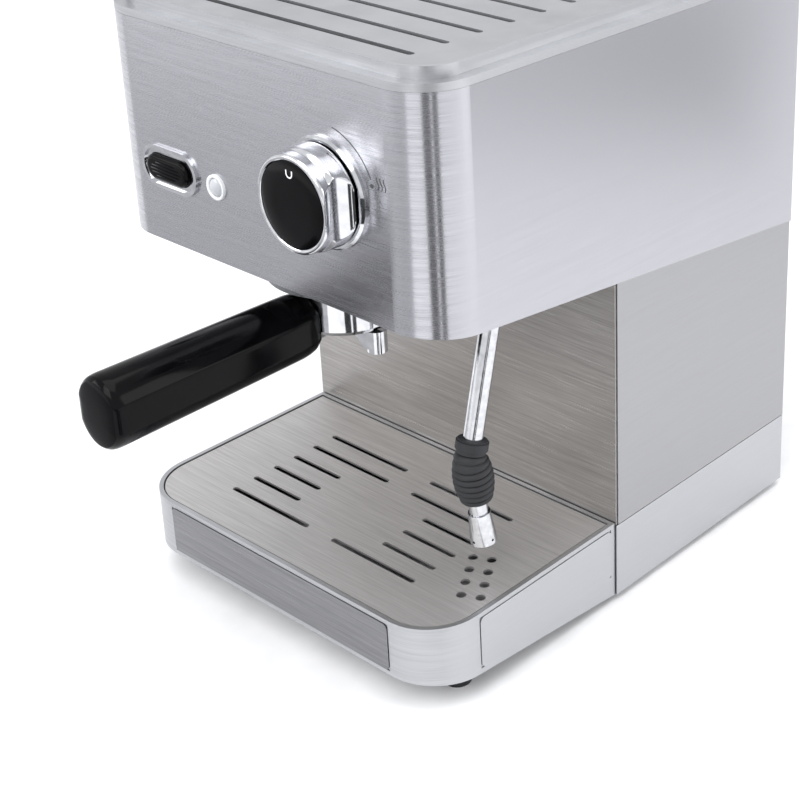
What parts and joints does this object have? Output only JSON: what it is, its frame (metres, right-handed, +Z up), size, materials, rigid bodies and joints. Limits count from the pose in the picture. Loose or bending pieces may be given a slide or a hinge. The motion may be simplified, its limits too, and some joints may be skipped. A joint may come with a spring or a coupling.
{
  "type": "pump espresso machine",
  "caption": "Home pump espresso machine with a cube head, bayonet portafilter, steam wand, drip tray, selector knob, power button and rear water tank.",
  "frame": {"origin": "on the table, under the middle of the plan (middle of the bounding box, at the feet)", "axes": "+X to the right seen from the front, +Y towards the back, +Z up"},
  "size_m": [0.234, 0.388, 0.3279],
  "materials": {
    "brushed_steel": "horizontally brushed",
    "bright_steel": "polished",
    "silver_shell": "fine satin silver",
    "black_gloss": "glossy black",
    "black_plastic": "matt black",
    "black_rubber": "matt",
    "cast_aluminium": "as cast",
    "zinc_steel": "zinc plated",
    "brass": "turned",
    "white_plastic": "moulded",
    "clear_plastic": "clear moulded",
    "silicone": "matt silicone",
    "circuit_board": "lacquered",
    "wire_jacket": "extruded",
    "lamp_white": "clear moulded"
  },
  "bodies": {
    "housing": {"base_pan": "silver_shell", "feet": "black_rubber", "column_shell": "silver_shell", "column_plate": "brushed_steel", "head_shell": "brushed_steel", "head_floor": "black_plastic", "warming_deck": "brushed_steel", "group_ring": "cast_aluminium", "group_gasket": "silicone", "group_bolts": "zinc_steel", "shower_screen": "bright_steel", "shower_screw": "zinc_steel", "boiler_lower": "cast_aluminium", "boiler_upper": "cast_aluminium", "boiler_seal": "silicone", "boiler_bolts": "zinc_steel", "heating_element": "zinc_steel", "thermostats": "black_plastic", "dial_ring": "bright_steel", "valve_body": "brass", "button_bezel": "bright_steel", "switch_body": "black_plastic", "lamp_lens": "lamp_white", "lamp_holder": "black_plastic", "wand_socket": "black_plastic", "pump_body": "black_plastic", "pump_spring": "zinc_steel", "pump_mounts": "black_rubber", "suction_hose": "silicone", "pressure_hose": "white_plastic", "steam_pipe": "brass", "tank_seat": "black_rubber", "rear_cover": "black_plastic", "cord_gland": "black_plastic", "control_board": "circuit_board", "wiring": "wire_jacket", "case_screws": "zinc_steel"},
    "tray": {"drip_tray": "silver_shell", "tray_front_plate": "brushed_steel", "tray_side_plates": "brushed_steel"},
    "plate": {"drip_plate": "brushed_steel"},
    "portafilter": {"portafilter_bowl": "bright_steel", "filter_basket": "bright_steel", "double_spout": "bright_steel", "portafilter_handle": "black_gloss", "handle_bolt": "zinc_steel"},
    "knob": {"knob_body": "bright_steel", "knob_cap": "black_gloss", "valve_spindle": "brass"},
    "button": {"button_cap": "black_gloss"},
    "wand": {"wand_tube": "bright_steel", "wand_grip": "black_rubber", "wand_tip": "bright_steel"},
    "tank": {"water_tank": "clear_plastic", "tank_valve": "white_plastic", "lid_pin": "zinc_steel"},
    "lid": {"tank_lid": "black_plastic"},
    "piston": {"pump_piston": "zinc_steel"}
  },
  "joints": [
    {"name": "tray_slide", "type": "slide", "parent": "housing", "child": "tray", "axis": [0, -1, 0], "range_m": [0, 0.12]},
    {"name": "plate_lift", "type": "slide", "parent": "tray", "child": "plate", "axis": [0, 0, 1], "range_m": [0, 0.012]},
    {"name": "portafilter_turn", "type": "hinge", "parent": "housing", "child": "portafilter", "pos_m": [0, -0.044, 0.171], "axis": [0, 0, 1], "range_deg": [-50, 0]},
    {"name": "knob_turn", "type": "hinge", "parent": "housing", "child": "knob", "pos_m": [0.05, -0.0935, 0.2603], "axis": [0, -1, 0], "range_deg": [-65, 65]},
    {"name": "button_push", "type": "slide", "parent": "housing", "child": "button", "axis": [0, 1, 0], "range_m": [0, 0.0025], "stiffness_N_per_m": 600},
    {"name": "wand_swing", "type": "hinge", "parent": "housing", "child": "wand", "pos_m": [0.09, -0.029, 0.194], "axis": [0, -1, 0], "range_deg": [0, 25]},
    {"name": "tank_lift", "type": "slide", "parent": "housing", "child": "tank", "axis": [0, 0, 1], "range_m": [0, 0.2]},
    {"name": "lid_hinge", "type": "hinge", "parent": "tank", "child": "lid", "pos_m": [0, 0.1804, 0.3194], "axis": [-1, 0, 0], "range_deg": [0, 80]},
    {"name": "piston_shuttle", "type": "slide", "parent": "housing", "child": "piston", "axis": [0, 0, 1], "range_m": [-0.0015, 0.0015], "stiffness_N_per_m": 4000, "deforming": ["pump_spring"]}
  ]
}
